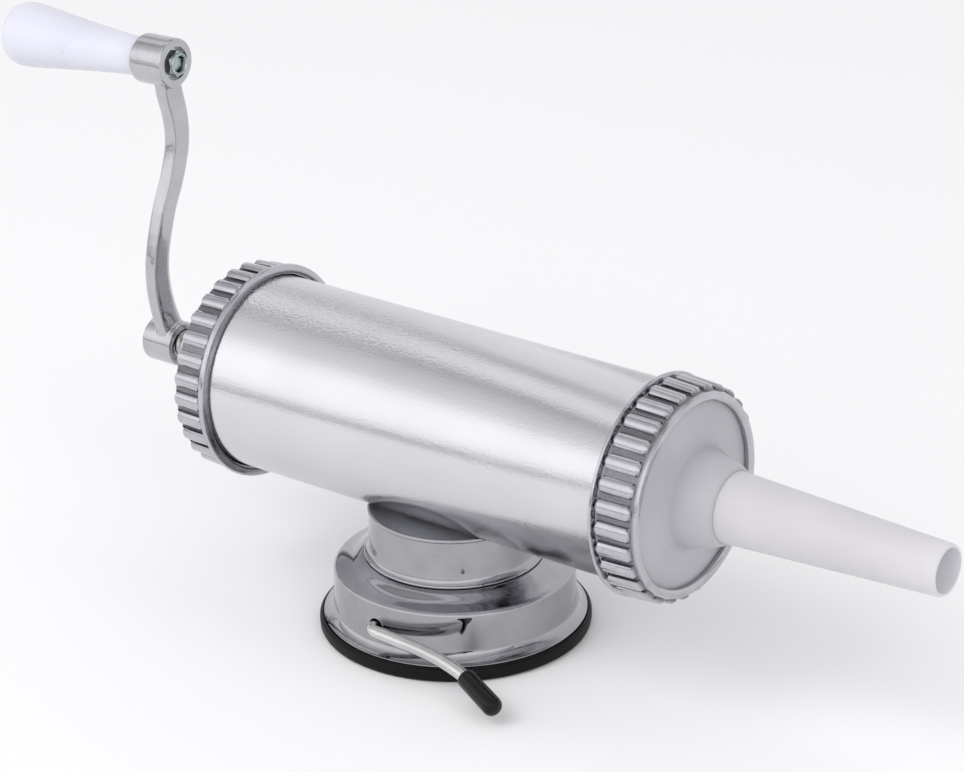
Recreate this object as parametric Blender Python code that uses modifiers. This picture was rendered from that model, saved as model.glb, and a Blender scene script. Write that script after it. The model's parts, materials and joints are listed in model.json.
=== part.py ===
"""Hand-cranked sausage stuffer on a suction base, as separate pieces in metres.

+X runs along the barrel towards the nozzle and +Z is up. The origin is on the table,
under the middle of the base. The press is shown with its piston right forward.
"""

from math import cos, pi, radians, sin, sqrt, tau

import bmesh
import bpy
from mathutils import Matrix, Vector

MM = 0.001
GAP = 0.3 * MM  # clearance between pieces that touch

# Barrel
AXIS_HEIGHT = 82.8 * MM
BARREL_RADIUS = 38.0 * MM
BARREL_WALL = 2.0 * MM
BARREL_REAR = -101.0 * MM
BARREL_FRONT = 105.0 * MM

# Screw caps on both barrel ends
CAP_BORE = 38.6 * MM
FLUTES = 30
FLUTE_TURN = radians(-2.6)  # how far the ribs are turned about the barrel's axis
REAR_CAP_FACE = -87.6 * MM
REAR_CAP_BACK = -104.0 * MM
HUB_RADIUS = 13.0 * MM
HUB_END = -126.0 * MM
RING_REAR = 92.7 * MM
RING_FACE = 111.2 * MM
RING_MOUTH = 35.3 * MM

# Screw and piston
SCREW_RADIUS = 6.0 * MM
SCREW_BORE = 6.3 * MM
JOURNAL_RADIUS = 4.0 * MM
JOURNAL_BORE = 4.3 * MM
PISTON_REAR = 93.0 * MM
PISTON_THICKNESS = 10.5 * MM
PISTON_RADIUS = 35.3 * MM
PISTON_POCKET = 9.5 * MM
SEAL_WIDTH = 3.4 * MM

# Crank
CRANK_FRONT = -134.0 * MM
CRANK_THROW = 115.9 * MM
CRANK_LEAN = radians(2.4)  # the crank stands a little to the +Y side of upright
LOWER_BOSS_RADIUS = 9.0 * MM
LOWER_BOSS_LENGTH = 14.7 * MM
UPPER_BOSS_RADIUS = 9.8 * MM
UPPER_BOSS_LENGTH = 16.0 * MM
UPPER_BOSS_FRONT = CRANK_FRONT - 1.0 * MM
ARM_FRONT = CRANK_FRONT - 2.5 * MM
ARM_THICKNESS = 6.0 * MM
HANDLE_DROOP = radians(1.8)
HANDLE_LENGTH = 68.0 * MM
BOLT_RADIUS = 3.0 * MM
BOLT_BORE = 3.3 * MM
NUT_RECESS_RADIUS = 6.6 * MM
NUT_RECESS_DEPTH = 2.5 * MM
GRUB_RADIUS = 2.4 * MM

# Nozzle
DISC_RADIUS = 37.9 * MM
NOZZLE_TIP = 216.0 * MM
NOZZLE_TIP_RADIUS = 9.7 * MM
NOZZLE_BASE = 13.5 * MM

# Base
CUP_RADIUS = 46.5 * MM
CUP_TOP = 30.0 * MM
CUP_WALL = 1.0 * MM
NECK_RADIUS = 32.6 * MM
NECK_RIM = 49.7 * MM
NECK_FLOOR = 44.2 * MM
PAD_RADIUS = 52.4 * MM
PAD_RIM = 5.8 * MM
PAD_MIDDLE = 4.6 * MM
STUD_OFFSET = 16.0 * MM
STUD_RADIUS = 2.5 * MM

# Suction lever
LEVER_HEIGHT = 16.0 * MM
LEVER_YAW = radians(-2.5)  # the lever leaves the cup a little to the rear of its middle
ROD_RADIUS = 2.5 * MM
ECCENTRIC = 1.5 * MM

# Sides of a round piece
LARGE = 40
MEDIUM = 32
SMALL = 16

COLLECTION = "sausage_stuffer"
CUTTERS = "cutters"


def clear_scene():
    for obj in list(bpy.data.objects):
        bpy.data.objects.remove(obj, do_unlink=True)
    for name in (COLLECTION, CUTTERS):
        bpy.context.scene.collection.children.link(bpy.data.collections.new(name))


def material(name, colour, metallic, roughness, alpha=1.0):
    made = bpy.data.materials.new(name)
    made.use_nodes = True
    shader = made.node_tree.nodes["Principled BSDF"]
    shader.inputs["Base Color"].default_value = (*colour, 1.0)
    shader.inputs["Metallic"].default_value = metallic
    shader.inputs["Roughness"].default_value = roughness
    shader.inputs["Alpha"].default_value = alpha
    return made


def make_finishes():
    return {
        "aluminium": material("satin_aluminium", (0.80, 0.81, 0.84), 1.0, 0.32),
        "cast": material("polished_cast_aluminium", (0.72, 0.73, 0.75), 1.0, 0.28),
        "chrome": material("chrome_plate", (0.82, 0.83, 0.84), 1.0, 0.06),
        "steel": material("bright_steel", (0.66, 0.66, 0.67), 1.0, 0.25),
        "zinc": material("zinc_plate", (0.60, 0.66, 0.66), 1.0, 0.30),
        "white": material("white_plastic", (0.86, 0.86, 0.90), 0.0, 0.30),
        "milky": material("milky_plastic", (0.84, 0.84, 0.87), 0.0, 0.40, 0.85),
        "rubber": material("black_rubber", (0.015, 0.015, 0.016), 0.0, 0.55),
        "seal": material("pale_silicone", (0.80, 0.80, 0.78), 0.0, 0.50),
    }


def place(obj, finish, parent=None, smooth=True):
    """Puts a piece in the object's collection with its material, moving with its parent."""
    bpy.data.collections[COLLECTION].objects.link(obj)
    obj.data.materials.append(finish)
    if parent:
        obj.parent = parent
        obj.matrix_parent_inverse = parent.matrix_world.inverted()
    if smooth:
        obj.data.shade_smooth()
        obj.data.set_sharp_from_angle(angle=radians(35))


def pivot(name, matrix, parent=None):
    """An empty on a joint's axis. Its world matrix is the joint's frame."""
    empty = bpy.data.objects.new(name, None)
    bpy.data.collections[COLLECTION].objects.link(empty)
    if parent:
        empty.parent = parent
        empty.matrix_parent_inverse = parent.matrix_world.inverted()
    empty.matrix_world = matrix
    bpy.context.view_layer.update()
    return empty


def finished(obj):
    """A plain closed mesh of an object with all its modifiers applied, which a Boolean can use."""
    bpy.context.scene.collection.objects.link(obj)
    bpy.context.view_layer.update()
    mesh = bpy.data.meshes.new_from_object(obj.evaluated_get(bpy.context.evaluated_depsgraph_get()))
    shape = bmesh.new()
    shape.from_mesh(mesh)
    bmesh.ops.remove_doubles(shape, verts=shape.verts, dist=0.000001)
    bmesh.ops.recalc_face_normals(shape, faces=shape.faces)
    shape.to_mesh(mesh)
    shape.free()
    name = obj.name
    bpy.data.objects.remove(obj, do_unlink=True)
    return bpy.data.objects.new(name, mesh)


def turned(name, profile, segments=LARGE, closed=True, sheet=0.0):
    """A piece turned about local Z. Its profile of (radius, height) points runs down the outer side.

    A closed profile makes a ring, an open one has both its ends on the axis, and a sheet is an
    outer surface that gets its thickness inwards.
    """
    count = len(profile)
    edges = [(i, i + 1) for i in range(count - 1)] + ([(count - 1, 0)] if closed else [])
    mesh = bpy.data.meshes.new(name)
    mesh.from_pydata([(radius, 0.0, height) for radius, height in profile], edges, [])
    obj = bpy.data.objects.new(name, mesh)
    screw = obj.modifiers.new("turn", "SCREW")
    screw.steps = screw.render_steps = segments
    screw.use_merge_vertices = True
    screw.merge_threshold = 0.00001
    if sheet:
        solidify = obj.modifiers.new("sheet", "SOLIDIFY")
        solidify.thickness = sheet
        solidify.offset = -1.0
    return finished(obj)


def cylinder(name, radius, low, high, segments=SMALL):
    return turned(name, [(0.0, high), (radius, high), (radius, low), (0.0, low)], segments, closed=False)


def tube(name, inner, outer, low, high, segments=SMALL):
    return turned(name, [(outer, high), (outer, low), (inner, low), (inner, high)], segments)


def extruded(name, outlines, low, high, bevel=0.0):
    """A flat piece from closed outlines in local XY, those inside another being its holes."""
    curve = bpy.data.curves.new(name, "CURVE")
    curve.dimensions = "2D"
    curve.fill_mode = "BOTH"
    curve.extrude = (high - low) / 2 - bevel
    curve.bevel_depth = bevel
    curve.bevel_resolution = 1
    curve.offset = -bevel
    for outline in outlines:
        spline = curve.splines.new("POLY")
        spline.points.add(len(outline) - 1)
        for point, (x, y) in zip(spline.points, outline):
            point.co = (x, y, 0.0, 1.0)
        spline.use_cyclic_u = True
    made = finished(bpy.data.objects.new(name, curve))
    made.data.transform(Matrix.Translation((0.0, 0.0, (high + low) / 2)))
    return made


def circle(radius, count, centre=(0.0, 0.0)):
    return [(centre[0] + radius * cos(tau * i / count), centre[1] + radius * sin(tau * i / count))
            for i in range(count)]


def hex_nut(name, across_flats, bore, low, high):
    return extruded(name, [circle(across_flats / sqrt(3), 6), circle(bore, SMALL)], low, high)


def slot(half_width, half_height, centre_height, corner_points=6):
    """An oblong outline with round ends, wider than it is high."""
    reach = half_width - half_height
    points = []
    for side in (1, -1):
        for i in range(corner_points + 1):
            angle = -pi / 2 + pi * i / corner_points
            points.append((side * (reach + half_height * cos(angle)),
                           centre_height + side * half_height * sin(angle)))
    return points


def smooth_points(points, steps):
    """Points along a Catmull-Rom curve through the given ones."""
    points = [Vector(point) for point in points]
    ends = [2 * points[0] - points[1], *points, 2 * points[-1] - points[-2]]
    path = []
    for a, b, c, d in zip(ends, ends[1:], ends[2:], ends[3:]):
        for i in range(steps):
            t = i / steps
            path.append(0.5 * (2 * b + (c - a) * t + (2 * a - 5 * b + 4 * c - d) * t * t
                               + (3 * b - a - 3 * c + d) * t * t * t))
    return [*path, points[-1]]


def rod(name, path, radius):
    curve = bpy.data.curves.new(name, "CURVE")
    curve.dimensions = "3D"
    curve.bevel_depth = radius
    curve.bevel_resolution = 3
    curve.use_fill_caps = True
    spline = curve.splines.new("POLY")
    spline.points.add(len(path) - 1)
    for point, position in zip(spline.points, path):
        point.co = (*position, 1.0)
    return finished(bpy.data.objects.new(name, curve))


def boolean(obj, other, operation):
    bpy.data.collections[CUTTERS].objects.link(other)
    other.hide_render = True
    other.display_type = "WIRE"
    modifier = obj.modifiers.new(operation.lower(), "BOOLEAN")
    modifier.operation = operation
    modifier.solver = "EXACT"
    modifier.object = other


def along_x(obj):
    """Lays a piece turned about local Z along the barrel's axis, local +Z towards +X."""
    obj.matrix_world = barrel_frame()
    return obj


def barrel_frame():
    return Matrix.Translation((0.0, 0.0, AXIS_HEIGHT)) @ Matrix.Rotation(pi / 2, 4, "Y")


def crank_frame():
    """Local Z towards +X along the screw, and local Y along the crank's throw."""
    upright = Matrix(((0, 0, 1, 0), (1, 0, 0, 0), (0, 1, 0, 0), (0, 0, 0, 1)))
    return Matrix.Translation((0.0, 0.0, AXIS_HEIGHT)) @ Matrix.Rotation(-CRANK_LEAN, 4, "X") @ upright


def grip_frame():
    """Origin in the front face of the crank's upper boss, local Z along the grip's bolt."""
    top = Matrix.Translation((0.0, CRANK_THROW, UPPER_BOSS_FRONT))
    return crank_frame() @ top @ Matrix.Rotation(-HANDLE_DROOP, 4, "X")


def lever_frame():
    """Local X along the lever at rest, local -Y out of the cup along the lever's axis."""
    return Matrix.Translation((0.0, 0.0, LEVER_HEIGHT)) @ Matrix.Rotation(LEVER_YAW, 4, "Z")


def fluted_band(name, stations, inner):
    """A ring of rounded ribs about local Z. A station is (height, rib radius, groove radius)."""
    rib_shape = ((0.0, 0.0), (0.13, 1.0), (0.47, 1.0), (0.60, 0.0))
    angles = [FLUTE_TURN + tau * (rib + share) / FLUTES for rib in range(FLUTES) for share, _ in rib_shape]
    raised = [up for _ in range(FLUTES) for _, up in rib_shape]
    sections = [(height, [groove + (rib - groove) * up for up in raised]) for height, rib, groove in stations]
    sections += [(stations[-1][0], [inner] * len(angles)), (stations[0][0], [inner] * len(angles))]
    shape = bmesh.new()
    rings = [[shape.verts.new((radius * cos(angle), radius * sin(angle), height))
              for radius, angle in zip(radii, angles)] for height, radii in sections]
    for first, second in zip(rings, rings[1:] + rings[:1]):
        for i in range(len(angles)):
            j = (i + 1) % len(angles)
            shape.faces.new((first[i], first[j], second[j], second[i]))
    bmesh.ops.recalc_face_normals(shape, faces=shape.faces)
    mesh = bpy.data.meshes.new(name)
    shape.to_mesh(mesh)
    shape.free()
    return bpy.data.objects.new(name, mesh)


def make_barrel(finish):
    barrel = tube("barrel", BARREL_RADIUS - BARREL_WALL, BARREL_RADIUS, BARREL_REAR, BARREL_FRONT, LARGE)
    place(along_x(barrel), finish["aluminium"])


def make_rear_cap(finish, parent):
    """The cap with its ribs and hub, and the threaded bush in the hub."""
    web = BARREL_REAR - 1.8 * MM  # the web's front face
    seat = web - 2.5 * MM
    bush_flange, bush_body = 12.6 * MM, 10.0 * MM
    cap = turned("rear_cap", [
        (41.6 * MM, REAR_CAP_FACE), (42.5 * MM, REAR_CAP_FACE - 0.9 * MM),
        (42.5 * MM, REAR_CAP_FACE - 2.1 * MM), (39.9 * MM, REAR_CAP_FACE - 3.1 * MM),
        (39.4 * MM, REAR_CAP_BACK), (HUB_RADIUS + 4.0 * MM, REAR_CAP_BACK - 5.0 * MM),
        (HUB_RADIUS, REAR_CAP_BACK - 7.5 * MM), (HUB_RADIUS, HUB_END), (bush_body + GAP, HUB_END),
        (bush_body + GAP, seat), (bush_flange + GAP, seat), (bush_flange + GAP, web),
        (CAP_BORE, web), (CAP_BORE, REAR_CAP_FACE),
    ])
    ribs = fluted_band("rear_ribs", [
        (REAR_CAP_FACE - 2.6 * MM, 41.2 * MM, 39.5 * MM), (REAR_CAP_BACK + 0.2 * MM, 40.8 * MM, 39.1 * MM),
    ], CAP_BORE + GAP)
    boolean(along_x(cap), along_x(ribs), "UNION")
    place(cap, finish["cast"], parent)
    bush = turned("screw_bush", [
        (bush_flange, web), (bush_flange, seat + GAP), (bush_body, seat + GAP),
        (bush_body, HUB_END + 0.5 * MM), (SCREW_BORE, HUB_END + 0.5 * MM), (SCREW_BORE, web),
    ], SMALL)
    place(along_x(bush), finish["steel"], parent)


def make_rear_gasket(finish, parent):
    gasket = tube("rear_gasket", 34.5 * MM, 37.8 * MM, BARREL_REAR - 1.5 * MM, BARREL_REAR - GAP, MEDIUM)
    place(along_x(gasket), finish["seal"], parent)


def make_piston(finish, parent):
    """The plate with its groove and front pocket, and the seal in the groove."""
    front = PISTON_REAR + PISTON_THICKNESS
    pocket = PISTON_REAR + 5.0 * MM
    groove = PISTON_RADIUS - 3.3 * MM
    seal_low = PISTON_REAR + 3.4 * MM
    seal_high = seal_low + SEAL_WIDTH
    plate = turned("piston_plate", [
        (PISTON_RADIUS - 1.0 * MM, front), (PISTON_RADIUS, front - 1.0 * MM),
        (PISTON_RADIUS, seal_high + GAP), (groove, seal_high + GAP), (groove, seal_low - GAP),
        (PISTON_RADIUS, seal_low - GAP), (PISTON_RADIUS, PISTON_REAR + 1.0 * MM),
        (PISTON_RADIUS - 1.0 * MM, PISTON_REAR), (JOURNAL_BORE, PISTON_REAR), (JOURNAL_BORE, pocket),
        (PISTON_POCKET, pocket), (PISTON_POCKET, front),
    ], MEDIUM)
    place(along_x(plate), finish["white"], parent)
    seal = turned("piston_seal", [
        (PISTON_RADIUS - 0.5 * MM, seal_high), (PISTON_RADIUS + GAP, seal_high - 0.8 * MM),
        (PISTON_RADIUS + GAP, seal_low + 0.8 * MM), (PISTON_RADIUS - 0.5 * MM, seal_low),
        (groove + GAP, seal_low), (groove + GAP, seal_high),
    ], MEDIUM)
    place(along_x(seal), finish["seal"], parent)


def make_screw(finish, parent):
    """The screw from the crank to the piston, with the washers and nut that hold the piston on it."""
    shoulder = PISTON_REAR - 1.4 * MM
    journal_end = PISTON_REAR + PISTON_THICKNESS - 0.4 * MM
    crank_end = CRANK_FRONT - LOWER_BOSS_LENGTH + GAP
    screw = turned("lead_screw", [
        (0.0, journal_end), (JOURNAL_RADIUS - 0.5 * MM, journal_end),
        (JOURNAL_RADIUS, journal_end - 0.5 * MM), (JOURNAL_RADIUS, shoulder),
        (SCREW_RADIUS, shoulder), (SCREW_RADIUS, crank_end + 0.5 * MM),
        (SCREW_RADIUS - 0.5 * MM, crank_end), (0.0, crank_end),
    ], SMALL, closed=False)
    place(along_x(screw), finish["steel"], parent)
    washers = {"thrust_washer_rear": shoulder + GAP, "thrust_washer_front": PISTON_REAR + 5.3 * MM}
    for name, low in washers.items():
        washer = tube(name, JOURNAL_BORE, PISTON_POCKET - 1.0 * MM, low, low + 0.8 * MM)
        place(along_x(washer), finish["zinc"], parent)
    nut_low = PISTON_REAR + 6.4 * MM
    nut = hex_nut("piston_nut", 13.0 * MM, JOURNAL_BORE, nut_low, nut_low + 3.6 * MM)
    place(along_x(nut), finish["zinc"], parent, smooth=False)


def arm_outline():
    """The outline of the crank's S-shaped arm, across the throw and along it."""
    centre = smooth_points([Vector(point) * MM for point in (
        (0.0, 3.0), (-5.5, 14.0), (-8.3, 27.0), (-8.3, 39.0), (-4.2, 55.5), (1.4, 69.0),
        (4.6, 81.5), (3.8, 93.0), (0.4, 105.0), (0.0, 114.0),
    )], 3)
    last = len(centre) - 1
    left, right = [], []
    for i, point in enumerate(centre):
        along = centre[min(i + 1, last)] - centre[max(i - 1, 0)]
        half_width = (5.8 - 1.0 * sin(pi * i / last)) * MM
        side = Vector((along.y, -along.x)).normalized() * half_width
        right.append(point + side)
        left.append(point - side)
    return right + left[::-1]


def make_crank(finish, parent):
    """The casting: a boss on the screw, the arm, and a boss for the grip's bolt."""
    frame = crank_frame()
    crank = cylinder("crank_arm", LOWER_BOSS_RADIUS, CRANK_FRONT - LOWER_BOSS_LENGTH, CRANK_FRONT, MEDIUM)
    crank.matrix_world = frame
    arm = extruded("arm", [arm_outline()], ARM_FRONT - ARM_THICKNESS, ARM_FRONT, bevel=1.4 * MM)
    arm.matrix_world = frame
    upper = cylinder("upper_boss", UPPER_BOSS_RADIUS, -UPPER_BOSS_LENGTH, 0.0, MEDIUM)
    upper.matrix_world = grip_frame()
    boolean(crank, arm, "UNION")
    boolean(crank, upper, "UNION")
    beyond = 5.0 * MM
    screw_hole = cylinder("screw_hole", SCREW_BORE, CRANK_FRONT - LOWER_BOSS_LENGTH - beyond, CRANK_FRONT + beyond)
    screw_hole.matrix_world = frame
    bolt_hole = turned("bolt_hole", [
        (0.0, beyond), (NUT_RECESS_RADIUS, beyond), (NUT_RECESS_RADIUS, -NUT_RECESS_DEPTH),
        (BOLT_BORE, -NUT_RECESS_DEPTH), (BOLT_BORE, -UPPER_BOSS_LENGTH - beyond),
        (0.0, -UPPER_BOSS_LENGTH - beyond),
    ], SMALL, closed=False)
    bolt_hole.matrix_world = grip_frame()
    grub_place = frame @ Matrix.Translation((0.0, 0.0, CRANK_FRONT - LOWER_BOSS_LENGTH / 2))
    grub_hole = cylinder("grub_hole", GRUB_RADIUS + GAP, -12.0 * MM, 0.0)
    grub_hole.matrix_world = grub_place @ Matrix.Rotation(-pi / 2, 4, "X")
    for cutter in (screw_hole, bolt_hole, grub_hole):
        boolean(crank, cutter, "DIFFERENCE")
    place(crank, finish["cast"], parent)
    grub = cylinder("crank_grub_screw", GRUB_RADIUS, -8.6 * MM, -6.1 * MM)
    grub.matrix_world = grub_hole.matrix_world
    place(grub, finish["zinc"], parent)


def make_handle(finish, crank_pivot, grip_pivot):
    """The grip turns on a bolt that a nut in the crank's upper boss holds."""
    far_end = -UPPER_BOSS_LENGTH - HANDLE_LENGTH
    head_seat = far_end + 6.0 * MM
    near_end = -UPPER_BOSS_LENGTH - GAP
    washer_seat = near_end - 1.2 * MM
    grip = turned("handle_grip", [
        (6.9 * MM, near_end), (7.4 * MM, near_end - 0.6 * MM), (8.3 * MM, near_end - 14.0 * MM),
        (9.7 * MM, near_end - 29.0 * MM), (11.3 * MM, near_end - 44.0 * MM),
        (12.6 * MM, near_end - 56.0 * MM), (12.9 * MM, near_end - 60.0 * MM),
        (12.2 * MM, near_end - 64.0 * MM), (10.4 * MM, near_end - 66.6 * MM), (7.6 * MM, far_end),
        (6.5 * MM, far_end), (6.5 * MM, head_seat), (BOLT_BORE, head_seat), (BOLT_BORE, washer_seat),
        (5.6 * MM, washer_seat), (5.6 * MM, near_end),
    ], MEDIUM)
    grip.matrix_world = grip_frame()
    place(grip, finish["white"], grip_pivot)
    bolt = turned("handle_bolt", [
        (0.0, 1.0 * MM), (BOLT_RADIUS - 0.4 * MM, 1.0 * MM), (BOLT_RADIUS, 0.6 * MM),
        (BOLT_RADIUS, head_seat - GAP), (5.6 * MM, head_seat - GAP), (5.6 * MM, head_seat - 3.0 * MM),
        (4.8 * MM, head_seat - 3.8 * MM), (0.0, head_seat - 3.8 * MM),
    ], SMALL, closed=False)
    washer = tube("handle_washer", BOLT_BORE, 5.2 * MM, near_end - 0.8 * MM, near_end)
    nut_low = GAP - NUT_RECESS_DEPTH
    nut = hex_nut("handle_nut", 10.0 * MM, BOLT_BORE, nut_low, nut_low + 4.2 * MM)
    for piece in (bolt, washer, nut):
        piece.matrix_world = grip_frame()
        place(piece, finish["zinc"], crank_pivot, smooth=piece is not nut)


def make_front_gasket(finish, parent):
    gasket = tube("front_gasket", 35.8 * MM, 37.8 * MM, BARREL_FRONT + GAP, BARREL_FRONT + 1.3 * MM, MEDIUM)
    place(along_x(gasket), finish["seal"], parent)


def make_nozzle(finish, parent):
    """The disc that closes the barrel, and the nozzle whose flange sits behind it."""
    back = BARREL_FRONT + 1.6 * MM
    rim_front = back + 2.0 * MM
    flange_seat = back + 4.2 * MM
    nose = back + 20.6 * MM
    disc = turned("front_disc", [
        (14.4 * MM, nose), (15.1 * MM, nose - 1.2 * MM), (18.2 * MM, back + 9.2 * MM),
        (18.9 * MM, back + 7.2 * MM), (20.6 * MM, back + 5.6 * MM),
        (34.6 * MM, rim_front), (DISC_RADIUS, rim_front), (DISC_RADIUS, back), (18.1 * MM, back),
        (18.1 * MM, flange_seat), (NOZZLE_BASE + GAP, flange_seat), (NOZZLE_BASE + GAP, nose),
    ])
    place(along_x(disc), finish["white"], parent)
    flange_front = flange_seat - GAP
    flange_back = flange_front - 2.0 * MM
    nozzle = turned("nozzle_tube", [
        (NOZZLE_TIP_RADIUS - 0.9 * MM, NOZZLE_TIP), (NOZZLE_TIP_RADIUS, NOZZLE_TIP - 1.4 * MM),
        (NOZZLE_BASE, nose), (NOZZLE_BASE, flange_front), (17.8 * MM, flange_front),
        (17.8 * MM, flange_back), (16.0 * MM, flange_back), (NOZZLE_BASE - 1.6 * MM, flange_back + 3.0 * MM),
        (NOZZLE_BASE - 1.6 * MM, nose), (NOZZLE_TIP_RADIUS - 1.5 * MM, NOZZLE_TIP),
    ], MEDIUM)
    place(along_x(nozzle), finish["milky"], parent)


def make_front_ring(finish, parent):
    lip = RING_FACE - 2.3 * MM
    ring = turned("front_ring", [
        (38.8 * MM, RING_FACE), (39.5 * MM, RING_FACE - 0.8 * MM), (39.9 * MM, RING_REAR + 1.9 * MM),
        (42.4 * MM, RING_REAR + 1.3 * MM), (42.4 * MM, RING_REAR + 0.5 * MM), (41.8 * MM, RING_REAR),
        (CAP_BORE, RING_REAR), (CAP_BORE, lip), (RING_MOUTH, lip), (RING_MOUTH, RING_FACE),
    ])
    ribs = fluted_band("front_ribs", [
        (RING_REAR + 1.4 * MM, 41.7 * MM, 39.5 * MM), (RING_FACE - 1.2 * MM, 40.2 * MM, 39.0 * MM),
    ], CAP_BORE + GAP)
    boolean(along_x(ring), along_x(ribs), "UNION")
    place(ring, finish["cast"], parent)


def make_cups(finish):
    """The lower cup is pressed sheet. The neck cup has a saddle for the barrel."""
    cup = turned("base_cup", [
        (0.0, CUP_TOP), (34.8 * MM, CUP_TOP), (40.0 * MM, CUP_TOP - 2.8 * MM),
        (44.4 * MM, CUP_TOP - 3.9 * MM), (45.9 * MM, CUP_TOP - 4.5 * MM), (CUP_RADIUS, CUP_TOP - 6.0 * MM),
        (CUP_RADIUS, 10.6 * MM), (47.6 * MM, 7.6 * MM), (50.4 * MM, 6.2 * MM),
    ], closed=False, sheet=CUP_WALL)
    neck = turned("neck_cup", [
        (0.0, NECK_FLOOR), (21.0 * MM, NECK_FLOOR), (30.4 * MM, NECK_FLOOR + 3.6 * MM),
        (31.4 * MM, NECK_RIM), (32.2 * MM, NECK_RIM), (NECK_RADIUS, NECK_RIM - 0.9 * MM),
        (NECK_RADIUS, 33.4 * MM), (33.6 * MM, 31.3 * MM), (34.4 * MM, 31.0 * MM),
        (34.4 * MM, CUP_TOP + GAP), (33.0 * MM, CUP_TOP + GAP), (31.4 * MM, 32.6 * MM),
        (31.4 * MM, NECK_FLOOR - 1.2 * MM), (0.0, NECK_FLOOR - 1.2 * MM),
    ], closed=False)
    saddle = along_x(cylinder("saddle", BARREL_RADIUS + GAP, -50.0 * MM, 50.0 * MM, LARGE))
    boolean(neck, saddle, "DIFFERENCE")
    lever_hole = cylinder("lever_hole", ROD_RADIUS + 0.7 * MM, -60.0 * MM, 60.0 * MM)
    lever_hole.matrix_world = lever_frame() @ Matrix.Rotation(pi / 2, 4, "X")
    boolean(cup, lever_hole, "DIFFERENCE")
    for side in (-1, 1):
        for piece in (cup, neck):
            hole = cylinder("stud_hole", STUD_RADIUS + 0.4 * MM, 20.0 * MM, 60.0 * MM)
            hole.location.x = side * STUD_OFFSET
            boolean(piece, hole, "DIFFERENCE")
    place(cup, finish["chrome"])
    place(neck, finish["chrome"])


def make_studs(finish):
    """Two studs under the barrel hold both cups, each with a washer and nut inside the base."""
    ceiling = CUP_TOP - CUP_WALL
    washer_low = ceiling - GAP - 0.8 * MM
    nut_low = washer_low - GAP - 4.0 * MM
    for end, side in (("rear", -1), ("front", 1)):
        top = AXIS_HEIGHT - BARREL_RADIUS - GAP
        pieces = (
            (cylinder("stud_" + end, STUD_RADIUS, nut_low - 1.4 * MM, top), finish["steel"]),
            (tube("stud_washer_" + end, STUD_RADIUS + GAP, 5.0 * MM, washer_low, ceiling - GAP),
             finish["zinc"]),
            (hex_nut("stud_nut_" + end, 8.0 * MM, STUD_RADIUS + GAP, nut_low, nut_low + 4.0 * MM),
             finish["zinc"]),
        )
        for piece, look in pieces:
            piece.location.x = side * STUD_OFFSET
            place(piece, look)


def make_suction_pad(finish):
    """A flat disc with a raised middle, and a lip that stands round the base cup's foot."""
    pad = turned("suction_pad", [
        (0.0, PAD_MIDDLE), (12.0 * MM, PAD_MIDDLE), (13.6 * MM, 3.0 * MM), (44.8 * MM, 3.0 * MM),
        (46.0 * MM, 4.8 * MM), (50.7 * MM, 4.8 * MM), (51.0 * MM, PAD_RIM), (51.8 * MM, PAD_RIM - 0.6 * MM),
        (PAD_RADIUS, 3.8 * MM), (PAD_RADIUS, 1.6 * MM), (51.2 * MM, 0.0), (0.0, 0.0),
    ], closed=False)
    place(pad, finish["rubber"])


def make_pad_stud(finish, parent):
    """A flange on the pad and an eye round the lever's eccentric."""
    flange_low = PAD_MIDDLE + GAP
    stud = turned("pad_stud", [
        (0.0, 9.0 * MM), (4.5 * MM, 9.0 * MM), (4.5 * MM, flange_low + 1.6 * MM),
        (11.0 * MM, flange_low + 1.6 * MM), (11.0 * MM, flange_low), (0.0, flange_low),
    ], SMALL, closed=False)
    eye_height = -ECCENTRIC
    half_width = ROD_RADIUS + ECCENTRIC + 0.4 * MM
    half_height = ROD_RADIUS + 0.7 * MM
    bottom = 8.0 * MM - LEVER_HEIGHT
    top = eye_height + half_height + 3.6 * MM
    wide = half_width + 2.6 * MM
    bar = [(-wide, bottom), (wide, bottom), (wide, top - 2.0 * MM), (wide - 2.0 * MM, top),
           (2.0 * MM - wide, top), (-wide, top - 2.0 * MM)]
    eye = extruded("eye", [bar, slot(half_width, half_height, eye_height)], -2.5 * MM, 2.5 * MM)
    eye.matrix_world = lever_frame() @ Matrix.Rotation(pi / 2, 4, "X")
    boolean(stud, eye, "UNION")
    place(stud, finish["steel"], parent)


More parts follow.
